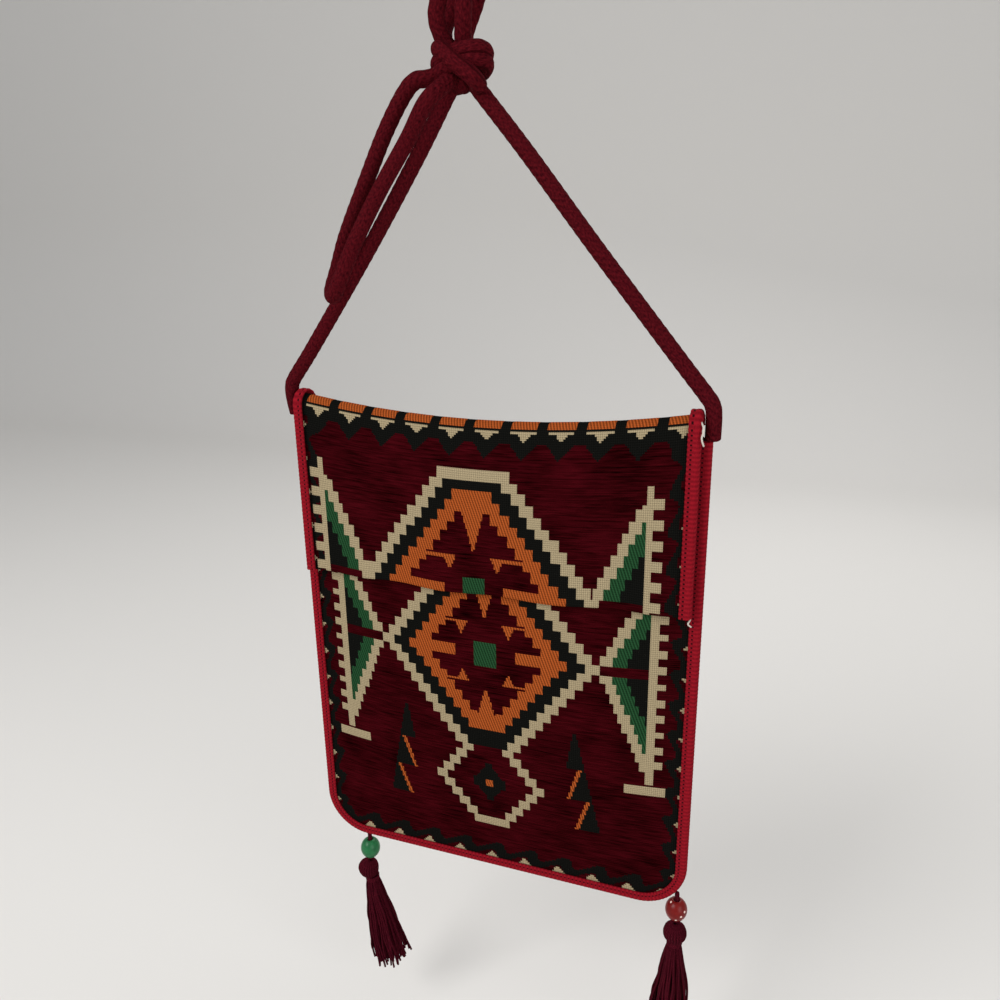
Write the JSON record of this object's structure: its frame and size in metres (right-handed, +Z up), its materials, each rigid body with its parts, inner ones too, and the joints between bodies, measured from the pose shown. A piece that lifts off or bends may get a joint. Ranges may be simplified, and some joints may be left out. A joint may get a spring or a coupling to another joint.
{
  "type": "woven shoulder bag",
  "caption": "Flat kilim-woven shoulder bag with a folded-over flap, knitted edge binding, knotted cord strap and beaded tassels that swing.",
  "frame": {"origin": "where a hook carries the strap's loop, inside the top of the loop", "axes": "+Z up, +X to the bag's right as its front is looked at, front towards -Y"},
  "size_m": [0.2814, 0.0495, 0.6876],
  "materials": {
    "woven_cloth": "thick woven wool and chenille, maroon ground with cream, black, orange and green pattern",
    "knitted_binding": "bright red knitted edging with a row of dark stitches",
    "strap_cord": "woolly knitted cord, dark red",
    "tassel_yarn": "twisted yarn, dark red",
    "green_bead": "glossy green glass, mottled",
    "red_bead": "glossy red glass with white specks"
  },
  "bodies": {
    "bag": {"back_panel_and_flap": "woven_cloth", "front_panel": "woven_cloth", "edge_binding": "knitted_binding", "flap_binding_left": "knitted_binding", "flap_binding_right": "knitted_binding", "strap_left": "strap_cord", "strap_right": "strap_cord", "strap_bight": "strap_cord", "strap_hook_loop": "strap_cord", "strap_second_loop": "strap_cord", "strap_knot": "strap_cord"},
    "left_cord": {"left_tassel_cord": "tassel_yarn"},
    "left_bead_body": {"left_bead": "green_bead"},
    "left_tassel": {"left_tassel_head": "tassel_yarn", "left_tassel_neck": "tassel_yarn", "left_tassel_skirt": "tassel_yarn"},
    "right_cord": {"right_tassel_cord": "tassel_yarn"},
    "right_bead_body": {"right_bead": "red_bead"},
    "right_tassel": {"right_tassel_head": "tassel_yarn", "right_tassel_neck": "tassel_yarn", "right_tassel_skirt": "tassel_yarn"}
  },
  "joints": [
    {"name": "left_cord_swing", "type": "hinge", "parent": "bag", "child": "left_cord", "pos_m": [-0.10201, 0.00485, -0.56688], "axis": [0, 1, 0], "range_deg": [-55, 55]},
    {"name": "left_bead_turn", "type": "hinge", "parent": "left_cord", "child": "left_bead_body", "pos_m": [-0.10201, 0.00485, -0.56688], "axis": [0, 0, 1], "continuous": true},
    {"name": "left_tassel_swing", "type": "hinge", "parent": "left_cord", "child": "left_tassel", "pos_m": [-0.10201, 0.00485, -0.58908], "axis": [1, 0, 0], "range_deg": [-45, 45]},
    {"name": "right_cord_swing", "type": "hinge", "parent": "bag", "child": "right_cord", "pos_m": [0.12755, 0.00485, -0.55427], "axis": [0, 1, 0], "range_deg": [-55, 17]},
    {"name": "right_bead_turn", "type": "hinge", "parent": "right_cord", "child": "right_bead_body", "pos_m": [0.12755, 0.00485, -0.55427], "axis": [0, 0, 1], "continuous": true},
    {"name": "right_tassel_swing", "type": "hinge", "parent": "right_cord", "child": "right_tassel", "pos_m": [0.12755, 0.00485, -0.57647], "axis": [1, 0, 0], "range_deg": [-45, 45]}
  ]
}
